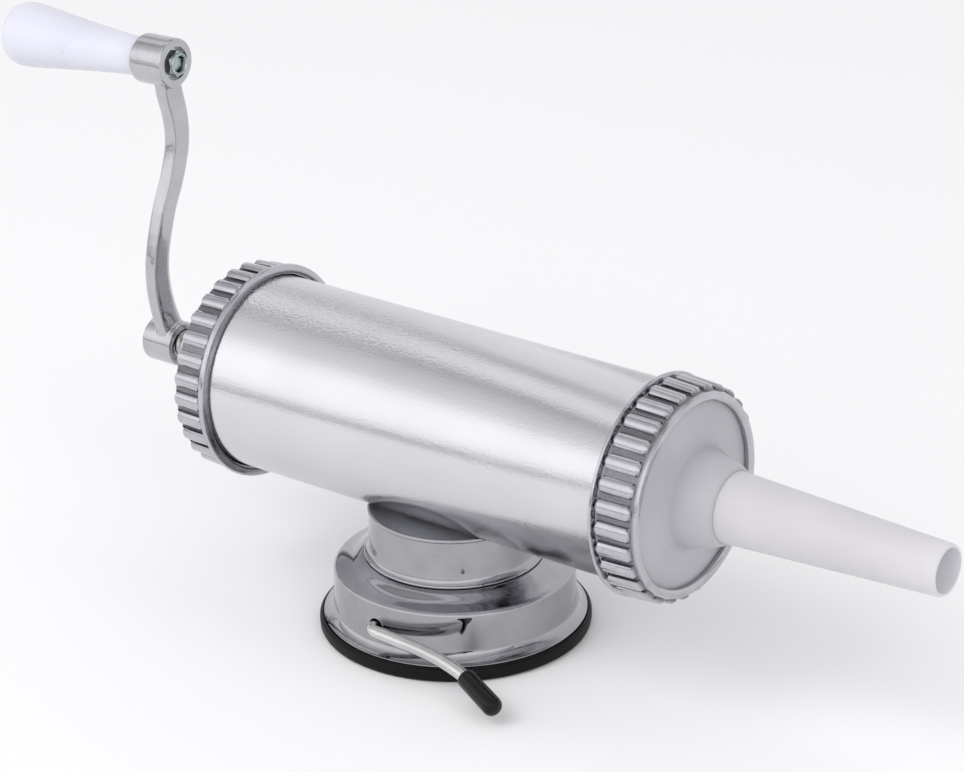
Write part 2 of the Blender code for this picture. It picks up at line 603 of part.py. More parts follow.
def make_lever(finish, parent):
    """One bent rod: axle, eccentric, elbow and arm, with a rubber sleeve on its end."""
    far_side, near_side = 48.0 * MM, -46.7 * MM
    jog_outer, jog_inner = 11.0 * MM, 7.5 * MM
    elbow = 3.5 * MM
    path = [(0.0, y, -low * ECCENTRIC) for y, low in (
        (far_side, 0), (jog_outer, 0), (jog_inner, 1), (-jog_inner, 1), (-jog_outer, 0), (near_side, 0))]
    for i in range(1, 6):
        angle = pi / 2 * i / 6
        path.append((elbow * (1 - cos(angle)), near_side - elbow * sin(angle), 0.0))
    arm = [(3.5, -50.2, 0.0), (13.0, -50.3, -0.2), (24.0, -49.7, -0.9), (34.0, -49.4, -2.2),
           (41.5, -49.7, -3.6), (47.0, -50.4, -4.8)]
    path += smooth_points([Vector(point) * MM for point in arm], 3)
    sleeve_way = Vector((0.930, -0.315, -0.189)).normalized()
    sleeve_start = path[-1]
    path.append(sleeve_start + sleeve_way * 17.0 * MM)
    lever = rod("lever_rod", path, ROD_RADIUS)
    lever.matrix_world = lever_frame()
    place(lever, finish["steel"], parent)

    bore = ROD_RADIUS + GAP
    sleeve = turned("lever_tip", [
        (0.0, 21.5 * MM), (2.2 * MM, 21.3 * MM), (3.4 * MM, 20.4 * MM), (3.9 * MM, 18.8 * MM),
        (3.7 * MM, 0.5 * MM), (3.4 * MM, 0.0), (bore, 0.0), (bore, 17.4 * MM), (0.0, 17.4 * MM),
    ], SMALL, closed=False)
    turn = sleeve_way.to_track_quat("Z", "Y").to_matrix().to_4x4()
    sleeve.matrix_world = lever_frame() @ Matrix.Translation(sleeve_start) @ turn
    place(sleeve, finish["rubber"], parent)
    clip = tube("lever_clip", bore, 4.6 * MM, -44.2 * MM, -43.4 * MM)
    clip.matrix_world = lever_frame() @ Matrix.Rotation(pi / 2, 4, "X")
    place(clip, finish["zinc"], parent)


def main():
    clear_scene()
    finish = make_finishes()
    make_barrel(finish)
    make_cups(finish)
    make_studs(finish)
    make_suction_pad(finish)

    rear_slide = pivot("rear_cap_slide", barrel_frame())
    make_rear_gasket(finish, rear_slide)
    make_rear_cap(finish, pivot("rear_cap_axis", barrel_frame(), rear_slide))
    piston_slide = pivot("piston_slide", barrel_frame(), rear_slide)
    make_piston(finish, piston_slide)
    crank_pivot = pivot("crank_axis", crank_frame(), piston_slide)
    make_screw(finish, crank_pivot)
    make_crank(finish, crank_pivot)
    make_handle(finish, crank_pivot, pivot("grip_axis", grip_frame(), crank_pivot))

    nozzle_slide = pivot("nozzle_slide", barrel_frame())
    make_front_gasket(finish, nozzle_slide)
    make_nozzle(finish, nozzle_slide)
    make_front_ring(finish, pivot("front_ring_axis", barrel_frame(), nozzle_slide))

    make_lever(finish, pivot("lever_axis", lever_frame()))
    make_pad_stud(finish, pivot("stud_lift", Matrix.Identity(4)))


main()
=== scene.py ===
import json
from math import atan2, cos, degrees, pi, radians, sin, sqrt

import bmesh
import bpy
from mathutils import Matrix, Vector


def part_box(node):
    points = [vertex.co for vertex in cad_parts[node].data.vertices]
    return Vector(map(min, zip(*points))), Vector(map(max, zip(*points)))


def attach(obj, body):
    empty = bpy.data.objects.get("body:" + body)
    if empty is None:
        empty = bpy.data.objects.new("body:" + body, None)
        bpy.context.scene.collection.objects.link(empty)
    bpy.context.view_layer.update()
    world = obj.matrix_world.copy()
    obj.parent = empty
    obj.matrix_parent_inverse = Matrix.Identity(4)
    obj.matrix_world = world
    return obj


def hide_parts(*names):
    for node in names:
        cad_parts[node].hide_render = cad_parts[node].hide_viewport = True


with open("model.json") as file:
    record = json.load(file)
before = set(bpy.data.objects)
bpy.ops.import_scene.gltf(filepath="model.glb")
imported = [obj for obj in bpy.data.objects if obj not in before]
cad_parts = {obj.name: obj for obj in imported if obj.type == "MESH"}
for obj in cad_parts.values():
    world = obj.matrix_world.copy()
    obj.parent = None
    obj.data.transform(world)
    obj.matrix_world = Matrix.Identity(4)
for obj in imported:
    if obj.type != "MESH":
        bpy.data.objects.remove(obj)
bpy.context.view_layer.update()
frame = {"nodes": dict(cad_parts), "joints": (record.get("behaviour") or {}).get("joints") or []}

mm = 0.001
mergeDistance = 0.002 * mm
scene = bpy.context.scene
joints = {joint["name"]: joint for joint in frame["joints"]}

# the barrel's own axis, and the line from it to the grip
axisPoint = Vector(joints["crank_turn"]["pos_m"])
alongX = Vector((1, 0, 0))
gripPoint = Vector(joints["grip_spin"]["pos_m"])
gripAxis = Vector(joints["grip_spin"]["axis"])
throwLine = Vector((0, gripPoint.y, gripPoint.z - axisPoint.z))
leverAxis = Vector(joints["lever_turn"]["axis"])
leverPoint = Vector(joints["lever_turn"]["pos_m"])


def frameOf(origin, zAxis, yAxis):
    zAxis = zAxis.normalized()
    xAxis = yAxis.cross(zAxis).normalized()
    yAxis = zAxis.cross(xAxis)
    turned = Matrix((xAxis, yAxis, zAxis)).transposed().to_4x4()
    return Matrix.Translation(origin) @ turned


middle = Vector((0, axisPoint.y, axisPoint.z))                # the axis over the base
barrelFrame = frameOf(middle, alongX, Vector((0, 0, 1)))      # local z along the barrel, y up
crankFrame = frameOf(middle, alongX, throwLine)               # local z along the screw, y along the throw
gripFrame = frameOf(gripPoint, gripAxis, throwLine)           # local z along the bolt
leverFrame = frameOf(leverPoint, Vector((0, 0, 1)), -leverAxis)  # local -y out of the cup


# modelling helpers
def freshStart():
    if bpy.context.mode != "OBJECT":
        bpy.ops.object.mode_set(mode="OBJECT")
    bpy.ops.object.select_all(action="DESELECT")


def useOnly(piece):
    freshStart()
    piece.select_set(True)
    bpy.context.view_layer.objects.active = piece


def editMode(piece):
    useOnly(piece)
    bpy.ops.object.mode_set(mode="EDIT")


def pick(piece, kind, test):
    # selects the vertices or faces that pass the test, which gets the element itself
    bpy.ops.mesh.select_mode(type={"verts": "VERT", "faces": "FACE"}[kind])
    bpy.ops.mesh.select_all(action="DESELECT")
    shape = bmesh.from_edit_mesh(piece.data)
    shape.normal_update()
    for element in getattr(shape, kind):
        if test(element):
            element.select_set(True)
    bmesh.update_edit_mesh(piece.data)


def closeUp(piece):
    bpy.ops.mesh.select_mode(type="VERT")
    bpy.ops.mesh.select_all(action="SELECT")
    bpy.ops.mesh.remove_doubles(threshold=mergeDistance)
    bpy.ops.mesh.normals_make_consistent(inside=False)
    bpy.ops.object.mode_set(mode="OBJECT")
    return piece


def outline(name, points):
    # draws a chain of edges point by point, and stays in edit mode with all of it selected
    freshStart()
    bpy.ops.mesh.primitive_plane_add(size=mm)
    piece = bpy.context.object
    piece.name = piece.data.name = name
    bpy.ops.object.mode_set(mode="EDIT")
    bpy.ops.mesh.select_mode(type="VERT")
    bpy.ops.mesh.select_all(action="SELECT")
    bpy.ops.mesh.merge(type="CENTER")
    bpy.ops.transform.translate(value=points[0])
    for here, there in zip(points, points[1:]):
        step = [b - a for a, b in zip(here, there)]
        bpy.ops.mesh.extrude_region_move(TRANSFORM_OT_translate={"value": step})
    bpy.ops.mesh.select_all(action="SELECT")
    return piece


def turned(name, profile, steps=96, ring=True):
    # profile is (radius, height) in mm about local z; a ring comes back to its first point
    points = [(radius * mm, 0, height * mm) for radius, height in profile]
    piece = outline(name, points + points[:1] if ring else points)
    bpy.ops.mesh.spin(steps=steps, angle=2 * pi, center=(0, 0, 0), axis=(0, 0, 1))
    return closeUp(piece)


def applyAll(piece):
    useOnly(piece)
    for modifier in list(piece.modifiers):
        bpy.ops.object.modifier_apply(modifier=modifier.name)


def roundEdges(piece, width, segments=3, angle=30, clamp=True):
    bevel = piece.modifiers.new("rounded", "BEVEL")
    bevel.limit_method = "ANGLE"
    bevel.angle_limit = radians(angle)
    bevel.width = width * mm
    bevel.segments = segments
    bevel.use_clamp_overlap = clamp
    applyAll(piece)


def combine(piece, other, operation):
    boolean = piece.modifiers.new("combined", "BOOLEAN")
    boolean.operation = operation
    boolean.solver = "EXACT"
    boolean.object = other
    applyAll(piece)
    bpy.data.objects.remove(other, do_unlink=True)


def placed(piece, where):
    # puts a piece made at the origin in its place, with the place in its mesh
    useOnly(piece)
    piece.matrix_world = where
    bpy.context.view_layer.update()
    bpy.ops.object.transform_apply(location=True, rotation=True, scale=True)
    return piece


def smoothed(piece, angle=35):
    useOnly(piece)
    bpy.ops.object.shade_smooth_by_angle(angle=radians(angle))


def put(piece, material, body, slotName, *nodes, angle=35):
    smoothed(piece, angle)
    piece.data.materials.clear()
    piece.data.materials.append(material)
    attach(piece, body)
    if nodes:
        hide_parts(*nodes)


def arc(centre, radius, start, end, count):
    # points (radius, height) on an arc, angles in degrees
    return [(centre[0] + radius * cos(radians(start + (end - start) * i / count)),
             centre[1] + radius * sin(radians(start + (end - start) * i / count)))
            for i in range(count + 1)]


def smoothPath(points, steps):
    points = [Vector(point) for point in points]
    ends = [2 * points[0] - points[1], *points, 2 * points[-1] - points[-2]]
    path = []
    for a, b, c, d in zip(ends, ends[1:], ends[2:], ends[3:]):
        for i in range(steps):
            t = i / steps
            path.append(0.5 * (2 * b + (c - a) * t + (2 * a - 5 * b + 4 * c - d) * t * t
                               + (3 * b - a - 3 * c + d) * t * t * t))
    return [*path, points[-1]]


# materials
class Wire:
    # wraps a socket, so that shader maths is written as an expression
    def __init__(self, tree, socket=None):
        self.tree = tree
        self.socket = socket

    def node(self, kind, settings, sockets, out=0):
        made = self.tree.nodes.new(kind)
        for name, value in settings.items():
            if name == "stops":
                ramp = made.color_ramp
                while len(ramp.elements) < len(value):
                    ramp.elements.new(0.5)
                for stop, (place, colour) in zip(ramp.elements, value):
                    stop.position = place
                    stop.color = (*colour, 1)
            else:
                setattr(made, name, value)
        for key, value in sockets.items():
            target = made.inputs[key]
            if isinstance(value, Wire):
                self.tree.links.new(value.socket, target)
            else:
                target.default_value = value
        return Wire(self.tree, made.outputs[out])

    def math(self, operation, *values):
        return self.node("ShaderNodeMath", {"operation": operation}, dict(enumerate(values)))

    def __add__(self, other):
        return self.math("ADD", self, other)

    def __radd__(self, other):
        return self.math("ADD", other, self)

    def __sub__(self, other):
        return self.math("SUBTRACT", self, other)

    def __rsub__(self, other):
        return self.math("SUBTRACT", other, self)

    def __mul__(self, other):
        return self.math("MULTIPLY", self, other)

    def __rmul__(self, other):
        return self.math("MULTIPLY", other, self)

    def __pow__(self, other):
        return self.math("POWER", self, other)

    def noise(self, scale, detail=2.0, roughness=0.5, stretch=None):
        place = self
        if stretch:
            place = self.node("ShaderNodeMapping", {}, {"Vector": self, "Scale": stretch})
        return self.node("ShaderNodeTexNoise", {}, {"Vector": place, "Scale": scale, "Detail": detail,
                                                    "Roughness": roughness})

    def between(self, low, high, start=0.0, end=1.0):
        # maps low..high of this value to start..end, held at both ends
        return self.node("ShaderNodeMapRange", {"clamp": True},
                         {"Value": self, "From Min": low, "From Max": high, "To Min": start, "To Max": end})

    def colours(self, first, second):
        # mixes from the first colour to the second; either may be a wire
        first, second = (shade if isinstance(shade, Wire) else (*shade, 1) for shade in (first, second))
        return self.node("ShaderNodeMix", {"data_type": "RGBA"}, {"Factor": self, 6: first, 7: second}, out=2)

    def parts(self):
        # the x, y and z of a position
        split = self.node("ShaderNodeSeparateXYZ", {}, {0: self}).socket.node
        return [Wire(self.tree, split.outputs[i]) for i in range(3)]

    def bump(self, strength, distance):
        return self.node("ShaderNodeBump", {}, {"Height": self, "Strength": strength, "Distance": distance})


def newMaterial(name):
    # returns the material, its shader node and a wire that carries object coordinates
    made = bpy.data.materials.new(name)
    made.use_nodes = True
    tree = made.node_tree
    shader = tree.nodes["Principled BSDF"]
    coordinates = Wire(tree).node("ShaderNodeTexCoord", {}, {}, out="Object")
    return made, shader, coordinates


def feed(shader, **values):
    names = {"colour": "Base Color", "roughness": "Roughness", "metallic": "Metallic", "normal": "Normal",
             "ior": "IOR", "subsurface": "Subsurface Weight", "subsurfaceScale": "Subsurface Scale",
             "subsurfaceRadius": "Subsurface Radius", "transmission": "Transmission Weight",
             "specular": "Specular IOR Level"}
    for key, value in values.items():
        socket = shader.inputs[names[key]]
        if isinstance(value, Wire):
            value.tree.links.new(value.socket, socket)
        else:
            socket.default_value = (*value, 1) if key == "colour" else value


def satinAluminium(settings):
    # drawn tube: fine lines along the barrel, a grainy skin and faint clouding
    made, shader, place = newMaterial("satinAluminium")
    lines = place.noise(settings["lineScale"], 3, 0.6, stretch=(0.03, 1, 1))
    grain = place.noise(settings["grainScale"], 2, 0.6)
    cloud = place.noise(settings["cloudScale"], 3, 0.5)
    rough = settings["roughness"] + (lines - 0.5) * 0.10 + (grain - 0.5) * 0.08 + (cloud - 0.5) * 0.06
    # a patch of coarser grain on the shoulder towards the crank
    x, _, z = place.parts()
    patch = x.between(*settings["patchAlong"]) * (z - axisPoint.z).between(*settings["patchUp"])
    mottle = place.noise(settings["mottleScale"], 2, 0.55).between(0.35, 0.65) * patch
    skin = grain * 0.7 + lines * 0.3 + mottle * settings["mottle"]
    feed(shader, metallic=1.0, colour=cloud.between(0.35, 0.65).colours(*settings["colours"]),
         roughness=rough, normal=skin.bump(settings["bump"], 0.2 * mm))
    return made


def castAluminium(settings):
    # polished casting: slight waves, fine pits and duller hollows
    made, shader, place = newMaterial(settings["name"])
    wave = place.noise(settings["waveScale"], 2, 0.5)
    grain = place.noise(settings["grainScale"], 4, 0.65)
    pits = place.noise(settings["pitScale"], 1, 0.5).between(0.66, 0.76)
    rough = settings["roughness"] + (grain - 0.5) * 0.16 + (wave - 0.5) * 0.10 + pits * 0.15
    tone = (grain * 0.5 + wave * 0.5).between(0.36, 0.64)
    height = wave * settings["waves"] + grain * 0.15 - pits * 0.15
    colour = tone.colours(*settings["colours"])
    if "paintedShade" in settings:
        # less polish, and painted shade that darkens the colour low between the ribs
        _, y, z = place.parts()
        across, above = y - axisPoint.y, z - axisPoint.z
        reach = (across * across + above * above) ** 0.5
        inner, innerFull, outerFull, outer = (radius * mm for radius in settings["paintedShade"])
        # painted shade: the colour goes darker in the grooves between these radii
        low = (1 - reach.between(outerFull, outer)) * reach.between(inner, innerFull)
        colour = (low * (0.55 + grain * 0.5)).colours(colour, settings["dark"])
        rough = rough + low * 0.10
    feed(shader, metallic=1.0, colour=colour, roughness=rough,
         normal=height.bump(settings["bump"], 0.25 * mm))
    return made


def chromePlate(settings):
    # mirror plate over pressed sheet: faint waves of the sheet, smears from hands, tiny scratches
    made, shader, place = newMaterial("chromePlate")
    wave = place.noise(settings["waveScale"], 1, 0.4)
    smear = place.noise(settings["smearScale"], 4, 0.6)
    scratch = place.noise(settings["scratchScale"], 2, 0.7, stretch=(1, 1, 0.05)).between(0.60, 0.75)
    rough = settings["roughness"] + smear.between(0.5, 0.75) * 0.07 + scratch * 0.04
    feed(shader, metallic=1.0, colour=smear.between(0.4, 0.7).colours(*settings["colours"]),
         roughness=rough, normal=(wave + scratch * 0.02).bump(settings["bump"], 0.6 * mm))
    return made


def turnedMetal(settings):
    # bright machined or plated metal with fine marks
    made, shader, place = newMaterial(settings["name"])
    marks = place.noise(settings["markScale"], 3, 0.6, stretch=settings["stretch"])
    cloud = place.noise(settings["cloudScale"], 3, 0.5)
    rough = settings["roughness"] + (marks - 0.5) * 0.14 + (cloud - 0.5) * 0.12
    tone = (cloud * 0.7 + marks * 0.3).between(0.38, 0.62)
    feed(shader, metallic=1.0, colour=tone.colours(*settings["colours"]),
         roughness=rough, normal=marks.bump(settings["bump"], 0.1 * mm))
    return made


scuffScale = 260


def plastic(settings):
    # moulded plastic: a faint orange-peel skin, slight clouding and small scuffs
    made, shader, place = newMaterial(settings["name"])
    skin = place.noise(settings["skinScale"], 2, 0.5)
    cloud = place.noise(settings["cloudScale"], 3, 0.5)
    scuff = place.noise(scuffScale, 4, 0.7, stretch=(1, 1, 0.3)).between(0.62, 0.78)
    rough = settings["roughness"] + (cloud - 0.5) * 0.12 + scuff * 0.12
    feed(shader, colour=cloud.between(0.35, 0.65).colours(*settings["colours"]), roughness=rough,
         normal=(skin * 0.6 + scuff * 0.2).bump(settings["bump"], 0.15 * mm),
         subsurface=settings["subsurface"], subsurfaceScale=0.01, subsurfaceRadius=(0.9, 0.9, 1.0),
         transmission=settings["transmission"], ior=1.49)
    return made


def rubber(settings):
    # black rubber with a fine matt grain and a little pale dust
    made, shader, place = newMaterial(settings["name"])
    grain = place.noise(settings["grainScale"], 3, 0.6)
    dust = place.noise(settings["dustScale"], 5, 0.7).between(0.50, 0.80)
    feed(shader, colour=(dust * settings["dust"] + grain * 0.1).colours(*settings["colours"]),
         roughness=settings["roughness"] + (grain - 0.5) * 0.16 + dust * 0.12,
         normal=grain.bump(settings["bump"], 0.12 * mm), specular=settings["specular"])
    return made


aluminium = satinAluminium({
    "lineScale": 1500, "grainScale": 900, "cloudScale": 22, "roughness": 0.17, "bump": 0.35,
    "mottleScale": 850, "mottle": 1.2, "patchAlong": (0.05, -0.03), "patchUp": (0.029, 0.033),
    "colours": ((0.66, 0.66, 0.68), (0.70, 0.70, 0.72))})
cast = castAluminium({
    "name": "polishedCasting", "waveScale": 110, "grainScale": 1200, "pitScale": 700, "waves": 1.0,
    "roughness": 0.15, "bump": 0.16, "colours": ((0.46, 0.46, 0.48), (0.54, 0.54, 0.56))})
# paintedShade holds four radii in mm: the painted shade fades in over the first two and out over the last two
capCast = castAluminium({
    "name": "capCasting", "waveScale": 220, "grainScale": 1300, "pitScale": 900, "waves": 1.2,
    "roughness": 0.12, "bump": 0.22, "colours": ((0.47, 0.47, 0.50), (0.55, 0.55, 0.58)),
    "paintedShade": (38.6, 39.0, 39.5, 40.8), "dark": (0.14, 0.14, 0.155)})
chrome = chromePlate({
    "waveScale": 30, "smearScale": 60, "scratchScale": 900, "roughness": 0.05, "bump": 0.22,
    "colours": ((0.40, 0.40, 0.42), (0.33, 0.335, 0.355))})
dullPlate = turnedMetal({
    "name": "dullPlate", "markScale": 500, "stretch": (1, 1, 1), "cloudScale": 90,
    "roughness": 0.50, "bump": 0.20, "colours": ((0.80, 0.81, 0.84), (0.86, 0.87, 0.90))})
steel = turnedMetal({
    "name": "brightSteel", "markScale": 1200, "stretch": (0.2, 1, 1), "cloudScale": 60,
    "roughness": 0.20, "bump": 0.15, "colours": ((0.56, 0.55, 0.54), (0.68, 0.66, 0.66))})
zinc = turnedMetal({
    "name": "zincPlate", "markScale": 700, "stretch": (1, 1, 1), "cloudScale": 300,
    "roughness": 0.30, "bump": 0.20, "colours": ((0.36, 0.42, 0.42), (0.54, 0.58, 0.58))})
whitePlastic = plastic({
    "name": "whitePlastic", "skinScale": 500, "cloudScale": 40, "roughness": 0.28, "bump": 0.12,
    "subsurface": 0.15, "transmission": 0.0, "colours": ((0.63, 0.63, 0.71), (0.66, 0.66, 0.74))})
# the disc's white plastic, made darker than the handle's as painted shade for the less lit face of the disc
discPlastic = plastic({
    "name": "discPlastic", "skinScale": 400, "cloudScale": 45, "roughness": 0.42, "bump": 0.15,
    "subsurface": 0.3, "transmission": 0.0, "colours": ((0.44, 0.43, 0.46), (0.47, 0.46, 0.49))})
milkyPlastic = plastic({
    "name": "milkyPlastic", "skinScale": 350, "cloudScale": 30, "roughness": 0.40, "bump": 0.15,
    "subsurface": 0.4, "transmission": 0.15, "colours": ((0.70, 0.68, 0.72), (0.74, 0.72, 0.76))})
silicone = plastic({
    "name": "paleSilicone", "skinScale": 500, "cloudScale": 80, "roughness": 0.50, "bump": 0.15,
    "subsurface": 0.3, "transmission": 0.0, "colours": ((0.66, 0.66, 0.64), (0.74, 0.74, 0.72))})
padRubber = rubber({
    "name": "blackRubber", "grainScale": 900, "dustScale": 90, "dust": 0.35, "roughness": 0.48, "bump": 0.30,
    "specular": 0.15, "colours": ((0.004, 0.004, 0.004), (0.022, 0.022, 0.024))})
sleeveRubber = rubber({
    "name": "blackSleeve", "grainScale": 600, "dustScale": 90, "dust": 0.15, "roughness": 0.22, "bump": 0.15,
    "specular": 0.25, "colours": ((0.003, 0.003, 0.003), (0.016, 0.016, 0.017))})
print("materials ready:", len(bpy.data.materials))

# barrel
barrelLow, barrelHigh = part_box("barrel")
barrel = {"outer": 38.0, "wall": 2.0, "rear": barrelLow.x / mm, "front": barrelHigh.x / mm,
          "pitch": 3.0, "turns": 3, "threadHeight": 0.35, "runOut": 2.0, "steps": 192}


def makeBarrel():
    outer, inner = barrel["outer"], barrel["outer"] - barrel["wall"]
    points = [(inner, barrel["front"]), (outer - 0.6, barrel["front"]), (outer, barrel["front"] - 0.6)]

    def threadFrom(end, towards):
        ridge = []
        for turn in range(barrel["turns"]):
            base = end + towards * (barrel["runOut"] + turn * barrel["pitch"])
            for along, up in ((0.0, 0.0), (0.55, 1.0), (0.95, 1.0), (1.5, 0.0)):
                ridge.append((outer + up * barrel["threadHeight"], base + towards * along))
        return ridge

    points += threadFrom(barrel["front"], -1)
    points += threadFrom(barrel["rear"], 1)[::-1]
    points += [(outer, barrel["rear"] + 0.6), (outer - 0.6, barrel["rear"]), (inner, barrel["rear"])]
    tube = turned("barrelTube", points, barrel["steps"])
    placed(tube, barrelFrame)
    put(tube, aluminium, "root", "aluminium", "barrel")


makeBarrel()
print("barrel made")

# screw caps: ribs stand on a turned ring
rearCap = {"face": -87.6, "flange": 42.5, "back": -104.0, "web": -102.8, "bore": 38.6, "hub": 13.0,
           "hubEnd": -126.0, "bushBore": 10.3, "ribs": 30, "columns": 10, "raised": 7, "turn": -2.6,
           "dome": (1.25, 0.50, 0.14, 0.0), "tuck": (1.5, 0.6, 0.15, 0.0),
           "stations": (-103.6, -102.7, -97.0, -91.5, -90.9), "grooves": (39.0, 39.1, 39.2, 39.3, 39.4),
           "tops": (40.5, 41.2, 41.5, 41.6, 41.1), "rounding": 0.22}
frontRing = {"rear": 92.7, "face": 111.2, "bead": 42.4, "bore": 38.6, "mouth": 35.3, "lip": 108.9,
             "ribs": 30, "columns": 10, "raised": 7, "turn": -2.6,
             "dome": (1.25, 0.50, 0.14, 0.0), "tuck": (1.5, 0.6, 0.15, 0.0),
             "stations": (95.2, 96.1, 102.0, 108.4, 109.5), "grooves": (39.5, 39.45, 39.3, 39.1, 38.95),
             "tops": (41.5, 41.9, 41.6, 41.2, 40.3), "rounding": 0.22}


def raiseRibs(piece, part):
    # lifts domed ribs out of a ring made about local z with columns * ribs steps
    pitch = 360 / part["ribs"]
    low, high = min(part["stations"]), max(part["stations"])
    outside = part["bore"] + 0.2
    grooveRadius, firstLift, lifted = 39.2, 1.2, 0.9    # mm; a point this far over its groove is on a rib
    sameStation = 0.05

    def share(point):
        return (degrees(atan2(point.y, point.x)) / pitch) % 1.0

    def reach(point):
        return sqrt(point.x ** 2 + point.y ** 2) / mm

    def onRib(face):
        point = face.calc_center_median()
        onBand = low < point.z / mm < high and reach(point) > outside
        return onBand and share(point) < part["raised"] / part["columns"]

    editMode(piece)
    pick(piece, "faces", onRib)
    bpy.ops.mesh.extrude_region_move()
    grown = 1 + firstLift / grooveRadius
    bpy.ops.transform.resize(value=(grown, grown, 1), center_override=(0, 0, 0))
    for station, groove, top in zip(part["stations"], part["grooves"], part["tops"]):
        # each line of the rib goes out to its own radius, the middle one furthest; at a rib's ends
        # the outer lines are also drawn in, so that the end is rounded
        for line in range(part["raised"] // 2 + 1):
            crown = top - part["dome"][line]
            found = []

            def onLine(vert):
                if abs(vert.co.z / mm - station) > sameStation or reach(vert.co) < groove + lifted:
                    return False
                column = round(share(vert.co) * part["columns"]) % part["columns"]
                if min(column, part["raised"] - column) != line:
                    return False
                found.append(reach(vert.co))
                return True

            pick(piece, "verts", onLine)
            factor = crown * len(found) / sum(found)
            bpy.ops.transform.resize(value=(factor, factor, 1), center_override=(0, 0, 0))
            if station in (low, high):
                inwards = part["tuck"][line] * (1 if station == low else -1)
                bpy.ops.transform.translate(value=(0, 0, inwards * mm))
    bpy.ops.object.mode_set(mode="OBJECT")


def bandSteps(part):
    return part["ribs"] * part["columns"]


def makeRearCap():
    c = rearCap
    face, back, web = c["face"], c["back"], c["web"]
    mouth = [(c["bore"], face - 0.9), (39.1, face - 0.9), (39.4, face - 0.8), (39.7, face - 0.2),
             (40.0, face), (41.6, face - 0.1), (42.2, face - 0.4), (c["flange"], face - 1.0),
             (c["flange"], face - 1.8), (42.1, face - 2.5), (39.9, face - 3.0)]
    band = list(zip(c["grooves"], c["stations"]))[::-1]
    dish = [(38.8, back + 0.05), (38.2, back - 0.4), (30.0, back - 2.3), (29.4, back - 3.0),
            (17.8, back - 5.0), (14.6, back - 6.4), (c["hub"], back - 8.4)]
    hub = [(c["hub"], c["hubEnd"] + 0.8), (c["hub"] - 0.8, c["hubEnd"]), (c["bushBore"], c["hubEnd"]),
           (c["bushBore"], web - 2.5), (12.9, web - 2.5), (12.9, web), (c["bore"], web)]
    profile = mouth + band + dish + hub
    cap = turned("rearCapBody", profile, bandSteps(c))
    raiseRibs(cap, c)
    roundEdges(cap, c["rounding"], 3, 24)
    placed(cap, barrelFrame @ Matrix.Rotation(radians(c["turn"]), 4, "Z"))
    put(cap, capCast, "rear_cap", "cast", "rear_cap", angle=40)


def makeFrontRing():
    c = frontRing
    rear, face = c["rear"], c["face"]
    bead = [(c["bore"], rear), (41.6, rear), (42.2, rear + 0.3), (c["bead"], rear + 0.8), (42.1, rear + 1.4),
            (41.0, rear + 1.7), (39.8, rear + 1.9)]
    band = list(zip(c["grooves"], c["stations"]))
    front = [(38.75, face - 0.9), (38.3, face - 0.15), (37.8, face), (36.2, face), (c["mouth"], face - 0.7),
             (c["mouth"], c["lip"]), (c["bore"], c["lip"])]
    profile = bead + band + front
    ring = turned("frontRingBody", profile, bandSteps(c))
    raiseRibs(ring, c)
    roundEdges(ring, c["rounding"], 3, 24)
    placed(ring, barrelFrame @ Matrix.Rotation(radians(c["turn"]), 4, "Z"))
    put(ring, capCast, "front_ring", "cast", "front_ring", angle=40)


makeRearCap()
makeFrontRing()
print("screw caps made")

# lead screw: a real thread between the crank and the piston
leadScrew = {"crest": 6.0, "root": 4.9, "lead": 4.0, "rear": -146.5, "front": 91.6, "journalStep": 1.0,
             "journalEnd": 103.1, "steps": 28}
bush = {"flange": 12.6, "flangeDepth": 2.2, "outer": 10.0, "bore": 6.3, "sunk": 0.5, "steps": 64}


def makeLeadScrew():
    s = leadScrew
    # one turn of the thread, drawn along local z, then wound by the screw modifier
    tooth = [(s["root"], 0.0), (s["root"], 0.9), (s["crest"], 1.6), (s["crest"], 2.9), (s["root"], 3.6),
             (s["root"], s["lead"])]
    turns = int((s["front"] - s["rear"]) / s["lead"]) + 3
    start = s["rear"] - 1.5 * s["lead"]
    screw = outline("leadScrewThread", [(r * mm, 0, (z + start) * mm) for r, z in tooth])
    bpy.ops.object.mode_set(mode="OBJECT")
    wind = screw.modifiers.new("wind", "SCREW")
    wind.axis = "Z"
    wind.angle = 2 * pi
    wind.screw_offset = s["lead"] * mm
    wind.iterations = turns
    wind.steps = wind.render_steps = s["steps"]
    applyAll(screw)
    editMode(screw)
    bpy.ops.mesh.select_all(action="SELECT")
    bpy.ops.mesh.remove_doubles(threshold=mergeDistance)
    for height, above in ((s["rear"], False), (s["front"], True)):
        bpy.ops.mesh.select_all(action="SELECT")
        bpy.ops.mesh.bisect(plane_co=(0, 0, height * mm), plane_no=(0, 0, 1), use_fill=True,
                            clear_inner=not above, clear_outer=above)

    def frontEnd(face):
        return face.normal.z > 0.99 and face.calc_center_median().z > (s["front"] - 0.1) * mm

    pick(screw, "faces", frontEnd)
    bpy.ops.mesh.inset(thickness=s["journalStep"] * mm)
    journal = (0, 0, (s["journalEnd"] - s["front"]) * mm)
    bpy.ops.mesh.extrude_region_move(TRANSFORM_OT_translate={"value": journal})
    closeUp(screw)
    placed(screw, crankFrame)
    put(screw, steel, "crank", "steel", "lead_screw", angle=32)


def makeBush():
    b = bush
    web = rearCap["web"]
    step = web - b["flangeDepth"]
    end = rearCap["hubEnd"] + b["sunk"]
    profile = [(b["flange"], web), (b["flange"], step), (b["outer"], step), (b["outer"], end + 0.4),
               (b["outer"] - 0.4, end), (b["bore"] + 0.8, end), (b["bore"], end + 0.8), (b["bore"], web)]
    piece = turned("hubBush", profile, b["steps"])
    placed(piece, barrelFrame)
    put(piece, steel, "rear_cap", "steel", "screw_bush")


makeLeadScrew()
makeBush()
print("screw and bush made")

